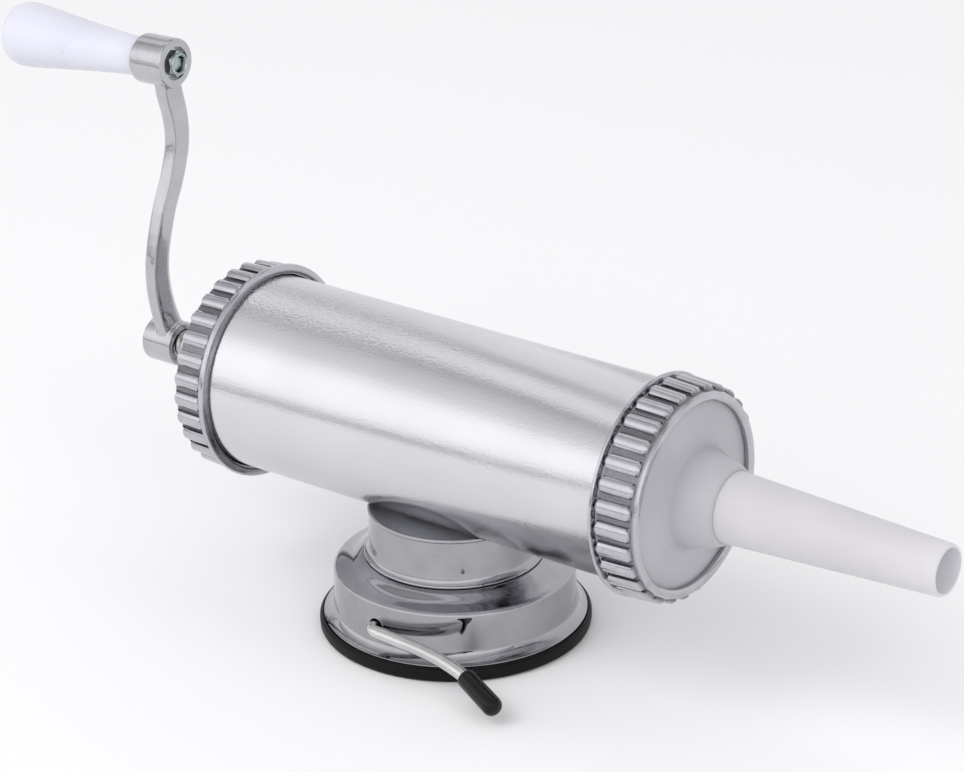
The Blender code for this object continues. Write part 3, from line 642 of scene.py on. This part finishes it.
# crank: an S-shaped arm between two bosses, as one casting
crank = {"front": -134.0, "bossRadius": 9.0, "bossLength": 14.7, "bore": 6.3, "armFront": -136.5,
         "armThick": 6.0, "halfWidth": 5.8, "waist": 1.0, "edge": 1.9,
         "upperRadius": 9.8, "upperLength": 16.0, "recess": 6.6, "recessDepth": 2.5, "boltBore": 3.3,
         "grub": 2.4, "grubEnds": (-8.6, -6.1), "socket": 1.45, "socketFloor": -7.2, "voxel": 0.42,
         "smoothing": 14,
         "spine": ((0.0, 1.0), (-3.2, 9.0), (-5.8, 16.0), (-8.3, 27.0), (-8.3, 39.0), (-4.2, 55.5),
                   (1.4, 69.0), (4.6, 81.5), (3.8, 93.0), (0.4, 105.0), (0.0, 114.0))}


def pillar(name, radius, low, high, sides=64):
    freshStart()
    bpy.ops.mesh.primitive_cylinder_add(vertices=sides, radius=radius * mm, depth=(high - low) * mm,
                                        location=(0, 0, (low + high) / 2 * mm))
    piece = bpy.context.object
    piece.name = piece.data.name = name
    bpy.ops.object.transform_apply(location=True, rotation=True, scale=True)
    return piece


def makeArm():
    # a strip drawn along the spine by extruding one edge, then given its thickness
    c = crank
    spine = smoothPath([(x, y, 0) for x, y in c["spine"]], 4)
    last = len(spine) - 1
    ways = [(spine[min(i + 1, last)] - spine[max(i - 1, 0)]).normalized() for i in range(last + 1)]
    widths = [c["halfWidth"] - c["waist"] * sin(pi * i / last) for i in range(last + 1)]

    def ends(i):
        side = Vector((ways[i].y, -ways[i].x, 0)) * widths[i]
        return spine[i] + side, spine[i] - side

    first, second = ends(0)
    strip = outline("armStrip", [tuple(first * mm), tuple(second * mm)])
    for i in range(last):
        (left, right), (nextLeft, nextRight) = ends(i), ends(i + 1)
        before, after = left - right, nextLeft - nextRight
        step, centre = tuple((spine[i + 1] - spine[i]) * mm), tuple(spine[i + 1] * mm)
        bpy.ops.mesh.extrude_region_move(TRANSFORM_OT_translate={"value": step})
        turn = before.angle(after) * (1 if before.cross(after).z > 0 else -1)
        bpy.ops.transform.rotate(value=-turn, orient_axis="Z", center_override=centre)
        grow = after.length / before.length
        bpy.ops.transform.resize(value=(grow, grow, 1), center_override=centre)
    bpy.ops.object.mode_set(mode="OBJECT")
    sheet = strip.modifiers.new("thickness", "SOLIDIFY")
    sheet.thickness = c["armThick"] * mm
    sheet.offset = 0
    applyAll(strip)
    editMode(strip)
    closeUp(strip)
    roundEdges(strip, c["edge"], 5, 50, False)
    middlePlane = (c["armFront"] - c["armThick"] / 2) * mm
    return placed(strip, crankFrame @ Matrix.Translation((0, 0, middlePlane)))


def makeCrank():
    c = crank
    body = pillar("crankCasting", c["bossRadius"], c["front"] - c["bossLength"], c["front"])
    placed(body, crankFrame)
    roundEdges(body, 0.6, 3, 40)
    upper = pillar("upperBoss", c["upperRadius"], -c["upperLength"], 0)
    roundEdges(upper, 0.7, 3, 40)
    placed(upper, gripFrame)
    combine(body, makeArm(), "UNION")
    combine(body, upper, "UNION")
    useOnly(body)
    melt = body.modifiers.new("melt", "REMESH")
    melt.mode = "VOXEL"
    melt.voxel_size = c["voxel"] * mm
    soften = body.modifiers.new("soften", "SMOOTH")
    soften.factor = 0.5
    soften.iterations = c["smoothing"]
    applyAll(body)
    far = 6.0
    screwHole = pillar("screwHole", c["bore"], c["front"] - c["bossLength"] - far, c["front"] + far)
    combine(body, placed(screwHole, crankFrame), "DIFFERENCE")
    recess = pillar("recess", c["recess"], -c["recessDepth"], far)
    combine(body, placed(recess, gripFrame), "DIFFERENCE")
    boltHole = pillar("boltHole", c["boltBore"], -c["upperLength"] - far, 0)
    combine(body, placed(boltHole, gripFrame), "DIFFERENCE")
    grubFrame = crankFrame @ Matrix.Translation((0, 0, (c["front"] - c["bossLength"] / 2) * mm))
    grubFrame = grubFrame @ Matrix.Rotation(-pi / 2, 4, "X")
    combine(body, placed(pillar("grubHole", c["grub"] + 0.3, -14, -3, 32), grubFrame), "DIFFERENCE")
    put(body, cast, "crank", "cast", "crank_arm", angle=50)
    grub = pillar("grubScrew", c["grub"], *c["grubEnds"], 32)
    roundEdges(grub, 0.3, 2, 40)
    combine(grub, pillar("hexSocket", c["socket"], -12, c["socketFloor"], 6), "DIFFERENCE")
    placed(grub, grubFrame)
    put(grub, zinc, "crank", "zinc", "crank_grub_screw")


makeCrank()
print("crank made")

# grip: the bolt, its locking nut, and the plastic handle that turns on it
grip = {"length": 68.0, "bossEnd": -16.0, "headSeat": -78.0, "bolt": 3.0, "bore": 3.3, "nutFlats": 9.2}


def makeHandle():
    near = grip["bossEnd"] - 0.3
    far = grip["bossEnd"] - grip["length"]
    outer = [(6.5, 0), (7.0, -0.25), (7.3, -0.8), (7.5, -2.5), (7.85, -7), (8.3, -14), (8.95, -21.5),
             (9.7, -29), (10.5, -36.5), (11.3, -44), (12.0, -50), (12.55, -55.5), (12.85, -59),
             (12.85, -61.2), (12.5, -63.4), (11.7, -65.2), (10.4, -66.6), (8.8, -67.4), (7.2, -67.7)]
    inner = [(6.5, far - near + 0.2), (6.3, far - near + 0.8), (6.3, grip["headSeat"] - near),
             (grip["bore"], grip["headSeat"] - near), (grip["bore"], -1.2), (5.6, -1.2), (5.6, 0)]
    handle = turned("handleShell", [(r, z + near) for r, z in outer + inner], 96)
    placed(handle, gripFrame)
    put(handle, whitePlastic, "grip", "white", "handle_grip", angle=30)


def hexBody(name, flats, low, high):
    # a hexagon with turned chamfers at both ends
    across = flats / cos(pi / 6) / 2
    nut = pillar(name, across, low, high, 6)
    profile = [(0.0, high + 0.02), (flats / 2 - 0.1, high + 0.02), (across + 0.6, high - 1.0),
               (across + 0.6, low + 1.0), (flats / 2 - 0.1, low - 0.02), (0.0, low - 0.02)]
    chamfer = turned("chamfer", profile, 64, ring=False)
    combine(nut, chamfer, "INTERSECT")
    return nut


def makeFastening():
    g = grip
    seat = 0.3 - crank["recessDepth"]
    nut = hexBody("lockNut", g["nutFlats"], seat, seat + 3.4)
    collar = turned("collar", [(2.0, seat + 2.6), (4.45, seat + 2.6), (4.45, seat + 4.0), (4.2, seat + 4.5),
                               (3.7, seat + 4.6), (3.4, seat + 4.2), (2.0, seat + 4.0)], 48)
    combine(nut, collar, "UNION")
    combine(nut, pillar("nutBore", g["bore"], seat - 2, seat + 8, 48), "DIFFERENCE")
    placed(nut, gripFrame)
    put(nut, zinc, "crank", "zinc", "handle_nut", angle=28)
    head = g["headSeat"]
    bolt = turned("gripBolt", [(0.0, 0.6), (2.2, 0.6), (2.7, 0.4), (g["bolt"], -0.1), (g["bolt"], head - 0.3),
                               (5.4, head - 0.3), (5.6, head - 0.6), (5.6, head - 2.6), (5.0, head - 3.5),
                               (3.4, head - 4.0), (0.0, head - 4.1)], 48, ring=False)
    slotCut = pillar("driveSlot", 4.0, head - 5, head - 2.6, 4)
    slotCut.scale = (1.6, 0.18, 1)
    placed(slotCut, slotCut.matrix_basis.copy())
    combine(bolt, slotCut, "DIFFERENCE")
    placed(bolt, gripFrame)
    put(bolt, zinc, "crank", "zinc", "handle_bolt")


makeHandle()
makeFastening()
print("grip made")

# nozzle end: the white disc and the tapered tube
nozzle = {"back": 106.6, "nose": 127.2, "tip": 216.0, "tipRadius": 9.7, "base": 13.5, "discRadius": 37.9,
          "stations": 9}


def makeDisc():
    b, nose = nozzle["back"], nozzle["nose"]
    shoulder = arc((18.9 + 3.6, b + 7.4), 3.6, 180, 262, 6)
    profile = [(nozzle["base"] + 0.05, nose + 0.1), (13.75, nose + 0.1), (14.3, nose - 0.3),
               (14.9, nose - 1.4), (16.6, b + 15.0), (18.1, b + 9.4)] + shoulder + [
               (28.0, b + 2.95), (34.4, b + 2.15), (35.0, b + 2.0), (nozzle["discRadius"], b + 2.0),
               (nozzle["discRadius"], b), (18.1, b), (18.1, b + 4.2), (nozzle["base"] + 0.05, b + 4.2)]
    disc = turned("endDisc", profile, 144)
    placed(disc, barrelFrame)
    # the disc's darker plastic is painted shade
    put(disc, discPlastic, "nozzle", "white", "front_disc", angle=32)


def makeNozzle():
    n = nozzle
    nose, tipEnd, tipRadius = n["nose"], n["tip"], n["tipRadius"]
    flange = n["back"] + 3.9
    outer = [(17.8, flange - 2.0), (17.8, flange), (n["base"], flange), (n["base"], nose)]
    for i in range(1, n["stations"]):
        share = i / n["stations"]
        outer.append((n["base"] + (tipRadius - n["base"]) * share, nose + (tipEnd - 1.6 - nose) * share))
    tip = [(tipRadius, tipEnd - 1.5), (tipRadius - 0.12, tipEnd - 0.7), (tipRadius - 0.45, tipEnd - 0.2),
           (tipRadius - 0.9, tipEnd), (tipRadius - 1.3, tipEnd - 0.15), (tipRadius - 1.5, tipEnd - 0.8)]
    inner = [(n["base"] - 1.6, nose), (n["base"] - 1.6, flange + 1.0), (16.0, flange - 2.0)]
    tube = turned("nozzleTube", outer + tip + inner, 96)
    placed(tube, barrelFrame)
    put(tube, milkyPlastic, "nozzle", "milky", "nozzle_tube", angle=32)


makeDisc()
makeNozzle()
print("nozzle made")

# base: two chromed cups and the rubber pad
neck = {"radius": 32.6, "wall": 1.1, "rim": 49.7, "floor": 46.2, "foot": 30.3, "saddle": 38.3, "steps": 160}
cup = {"radius": 46.5, "top": 30.0, "wall": 1.0, "hole": 3.2, "steps": 160}
pad = {"radius": 52.4, "rim": 5.8, "steps": 160}


def makeNeck():
    n = neck
    r = n["radius"]
    rim = arc((r - 0.40, n["rim"] - 0.8), 0.8, -60, 180, 10)   # rolled edge
    profile = [(0.0, n["floor"]), (20.0, n["floor"]), (24.5, n["floor"] + 0.2), (28.0, n["floor"] + 0.7),
               (30.2, n["floor"] + 1.5), (31.2, n["floor"] + 2.5)] + rim[::-1] + [
               (r, n["rim"] - 2.2), (r, 36.0), (r + 0.02, 33.8), (r + 0.25, 32.6), (r + 0.8, 31.7),
               (r + 1.5, 31.25), (34.4, 31.1), (34.6, 30.75), (34.4, n["foot"]), (33.2, n["foot"]),
               (r - n["wall"], 32.4),
               (r - n["wall"], n["floor"] - n["wall"]), (0.0, n["floor"] - n["wall"])]
    body = turned("neckCup", profile, n["steps"], ring=False)
    saddle = placed(pillar("saddle", n["saddle"], -60, 60, 192), barrelFrame)
    combine(body, saddle, "DIFFERENCE")
    put(body, chrome, "root", "chrome", "neck_cup", angle=28)
    # the inside of the neck is left dull
    body.data.materials.append(dullPlate)

    def inside(face):
        point = face.calc_center_median()
        return point.xy.length / mm < r - 0.5 and point.z / mm > n["floor"] - 0.4

    editMode(body)
    pick(body, "faces", inside)
    body.active_material_index = 1
    bpy.ops.object.material_slot_assign()
    bpy.ops.object.mode_set(mode="OBJECT")


def makeCup():
    c = cup
    r, top = c["radius"], c["top"]
    outer = [(0.0, top), (34.6, top), (35.6, top - 0.15), (37.2, top - 0.9), (38.8, top - 2.0),
             (40.4, top - 2.9), (42.4, top - 3.45), (44.2, top - 3.9)]
    outer += arc((r - 1.9, top - 5.9), 1.9, 72, 0, 8)
    outer += [(r, 21.5), (r, 10.8), (r + 0.15, 9.8), (r + 0.7, 8.6), (r + 1.7, 7.5), (r + 2.8, 6.8),
              (r + 3.8, 6.45), (50.7, 6.35)]
    w = c["wall"]
    inner = [(50.75, 5.9), (50.3, 5.45), (r + 2.6, 5.8), (r + 0.9, 6.6), (r - 0.3, 8.0), (r - w, 10.0),
             (r - w, top - 6.0), (r - w - 0.6, top - 7.2), (r - w - 1.6, top - 7.6), (40.4 - w, top - 3.8),
             (35.0, top - w), (0.0, top - w)]
    body = turned("baseCup", outer + inner, c["steps"], ring=False)
    # the cutter reaches through the near wall only
    hole = pillar("leverHole", c["hole"], 30, 60, 44)
    combine(body, placed(hole, leverFrame @ Matrix.Rotation(pi / 2, 4, "X")), "DIFFERENCE")
    put(body, chrome, "root", "chrome", "base_cup", angle=28)


def makePad():
    p = pad
    r = p["radius"]
    profile = [(0.0, 4.6), (11.8, 4.6), (13.4, 3.0), (44.8, 3.0), (46.0, 4.8), (50.8, 4.8),
               (51.0, p["rim"] - 0.1), (51.35, p["rim"])] + arc((r - 1.1, p["rim"] - 1.5), 1.1, 75, 0, 5) + [
               (r, 2.2), (r - 0.1, 1.4), (r - 0.5, 0.6), (r - 1.2, 0.1), (r - 1.8, 0.0), (44.0, 0.0),
               (43.4, 0.5), (41.0, 0.5), (40.4, 0.0), (0.0, 0.0)]
    body = turned("suctionPad", profile, p["steps"], ring=False)
    put(body, padRubber, "root", "rubber", "suction_pad", angle=40)


makeNeck()
makeCup()
makePad()
print("base made")

# suction lever: one bent rod with a black sleeve
lever = {"rod": 2.5, "eccentric": 1.5, "farSide": 48.0, "nearSide": -46.7, "jogOuter": 11.0,
         "jogInner": 7.5, "elbow": 3.5, "elbowSteps": 9, "rodInSleeve": 17.0,
         "sleeveWay": (0.930, -0.315, -0.189),
         "arm": ((3.5, -50.2, 0.0), (13.0, -50.3, -0.2), (24.0, -49.7, -0.9), (34.0, -49.4, -2.2),
                 (41.5, -49.7, -3.6), (47.0, -50.4, -4.8))}


def makeLever():
    v = lever
    path = [(0, y, -low * v["eccentric"]) for y, low in (
        (v["farSide"], 0), (v["jogOuter"], 0), (v["jogInner"], 1), (-v["jogInner"], 1), (-v["jogOuter"], 0),
        (v["nearSide"], 0))]
    for i in range(1, v["elbowSteps"]):
        angle = pi / 2 * i / v["elbowSteps"]
        path.append((v["elbow"] * (1 - cos(angle)), v["nearSide"] - v["elbow"] * sin(angle), 0))
    path = [Vector(point) for point in path] + smoothPath(v["arm"], 8)
    sleeveStart = path[-1]
    way = Vector(v["sleeveWay"]).normalized()
    path.append(sleeveStart + way * v["rodInSleeve"])
    chain = outline("leverPath", [tuple(point * mm) for point in path])
    bpy.ops.object.mode_set(mode="OBJECT")
    useOnly(chain)
    bpy.ops.object.convert(target="CURVE")
    rod = bpy.context.object
    rod.name = "leverRod"
    rod.data.bevel_depth = v["rod"] * mm
    rod.data.bevel_resolution = 6
    rod.data.use_fill_caps = True
    bpy.ops.object.convert(target="MESH")
    rod = bpy.context.object
    rod.name = rod.data.name = "leverRod"
    editMode(rod)
    closeUp(rod)
    placed(rod, leverFrame)
    put(rod, steel, "lever", "steel", "lever_rod", angle=45)

    profile = [(0.0, 21.5), (1.3, 21.45), (2.4, 21.15), (3.2, 20.5), (3.7, 19.6), (3.88, 18.4), (3.88, 16.5),
               (3.8, 9.0), (3.72, 1.3), (3.65, 0.5), (3.4, 0.05), (3.1, 0.0), (2.8, 0.3), (2.8, 17.4),
               (0.0, 17.4)]
    sleeve = turned("leverSleeve", profile, 64, ring=False)
    alongSleeve = way.to_track_quat("Z", "Y").to_matrix().to_4x4()
    placed(sleeve, leverFrame @ Matrix.Translation(sleeveStart * mm) @ alongSleeve)
    put(sleeve, sleeveRubber, "lever", "rubber", "lever_tip")


makeLever()
print("lever made")

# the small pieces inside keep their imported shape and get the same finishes
keptFinish = {"piston_plate": whitePlastic, "piston_seal": silicone, "rear_gasket": silicone,
              "front_gasket": silicone, "thrust_washer_rear": zinc, "thrust_washer_front": zinc,
              "piston_nut": zinc, "handle_washer": zinc, "stud_rear": steel, "stud_front": steel,
              "stud_washer_rear": zinc, "stud_washer_front": zinc, "stud_nut_rear": zinc,
              "stud_nut_front": zinc, "lever_clip": zinc, "pad_stud": steel}
for node, finish in keptFinish.items():
    kept = frame["nodes"][node]
    for materialSlot in kept.material_slots:
        materialSlot.material = finish
print("kept nodes finished:", len(keptFinish))

# floor, light and camera
stage = {"floorSize": 12.0, "floorColour": (0.90, 0.90, 0.90), "worldStrength": 1.0}


def makeFloor():
    freshStart()
    bpy.ops.mesh.primitive_plane_add(size=stage["floorSize"])
    floor = bpy.context.object
    floor.name = "floor"
    made, shader, place = newMaterial("paleFloor")
    cloud = place.noise(3, 3, 0.5)
    feed(shader, colour=cloud.colours(stage["floorColour"], tuple(0.99 * c for c in stage["floorColour"])),
         roughness=0.9, specular=0.1)
    floor.data.materials.append(made)


# panels: each angle about the barrel's line in degrees, 0 towards the viewer's side, 90 up and 180
# behind, with the brightness there
tent = {"tint": (1.0, 1.0, 1.02),
        "panels": ((-180, 0.94), (-60, 0.90), (-9, 0.93), (-5, 0.80), (1, 0.95), (8, 1.25), (20, 1.35),
                   (35, 1.35), (45, 1.22), (56, 0.92), (68, 0.80), (80, 0.66), (90, 0.42), (95, 0.85),
                   (103, 1.00), (117, 0.95), (124, 0.60), (130, 0.52), (138, 0.88), (180, 0.94))}


def makeWorld():
    # a pale tent: soft light panels over the table, with darker gaps between them
    world = bpy.data.worlds.new("studio")
    scene.world = world
    world.use_nodes = True
    tree = world.node_tree
    direction = Wire(tree).node("ShaderNodeTexCoord", {}, {}, out="Generated")
    _, y, z = direction.parts()
    turn = (z.math("ARCTAN2", z, 0 - y) * (180 / pi)).between(-180, 180)
    stops = [((angle + 180) / 360, tuple(bright * tint for tint in tent["tint"]))
             for angle, bright in tent["panels"]]
    tone = turn.node("ShaderNodeValToRGB", {"stops": stops}, {"Fac": turn})
    background = tree.nodes["Background"]
    tree.links.new(tone.socket, background.inputs["Color"])
    background.inputs["Strength"].default_value = stage["worldStrength"]


lampHeight = 0.08      # the lamps point at this height over the middle of the base
lamps = ({"name": "keySoftbox", "from": (-0.5, -1.1, 1.5), "size": (0.9, 0.9), "power": 9.0},
         {"name": "fillSoftbox", "from": (1.4, -0.6, 1.0), "size": (0.8, 0.8), "power": 3.0})


def makeLamps():
    for lamp in lamps:
        freshStart()
        bpy.ops.object.light_add(type="AREA", location=lamp["from"])
        light = bpy.context.object
        light.name = lamp["name"]
        light.data.shape = "RECTANGLE"
        light.data.size, light.data.size_y = lamp["size"]
        light.data.energy = lamp["power"]
        light.visible_camera = light.visible_glossy = False
        aim = Vector((0, 0, lampHeight)) - Vector(lamp["from"])
        light.rotation_euler = aim.to_track_quat("-Z", "Y").to_euler()


darkCard = {"distance": 0.70, "low": 0.016, "high": 0.080, "length": 5.0, "tone": 0.50}


def makeCard():
    # a long grey card on the viewer's side, which shows only in reflections, as a soft line on the barrel
    half = darkCard["length"] / 2
    card = outline("darkCard", [(-half, -darkCard["distance"], darkCard["low"]),
                                (half, -darkCard["distance"], darkCard["low"])])
    bpy.ops.mesh.extrude_region_move(
        TRANSFORM_OT_translate={"value": (0, 0, darkCard["high"] - darkCard["low"])})
    bpy.ops.object.mode_set(mode="OBJECT")
    made, shader, place = newMaterial("greyCard")
    cloud = place.noise(8, 2, 0.5)
    feed(shader, colour=cloud.colours((darkCard["tone"],) * 3, (darkCard["tone"] * 1.05,) * 3),
         roughness=1.0, specular=0.0)
    card.data.materials.append(made)
    card.visible_camera = card.visible_diffuse = card.visible_shadow = False


camera = {"azimuth": 37.506, "elevation": 23.673, "roll": -1.064, "distance": 1.4191,
          "aim": (0.0, 0.0, 0.055), "shiftRight": 0.01163, "shiftUp": 0.03946, "lens": 139.4,
          "sensor": 36}


def makeCamera():
    turn, rise, roll = (radians(camera[key]) for key in ("azimuth", "elevation", "roll"))
    back = Vector((sin(turn) * cos(rise), -cos(turn) * cos(rise), sin(rise)))
    right = (-back).cross(Vector((0, 0, 1))).normalized()
    up = right.cross(-back)
    aim = Vector(camera["aim"]) + right * camera["shiftRight"] + up * camera["shiftUp"]
    tilted = (right * cos(roll) + up * sin(roll), up * cos(roll) - right * sin(roll), back)
    bpy.ops.object.camera_add()
    view = bpy.context.object
    view.data.lens = camera["lens"]
    view.data.sensor_width = camera["sensor"]
    eye = aim + back * camera["distance"]
    view.matrix_world = Matrix.Translation(eye) @ Matrix(tilted).transposed().to_4x4()
    scene.camera = view


makeFloor()
makeWorld()
makeLamps()
makeCard()
makeCamera()
scene.view_settings.view_transform = "Standard"
print("stage ready")
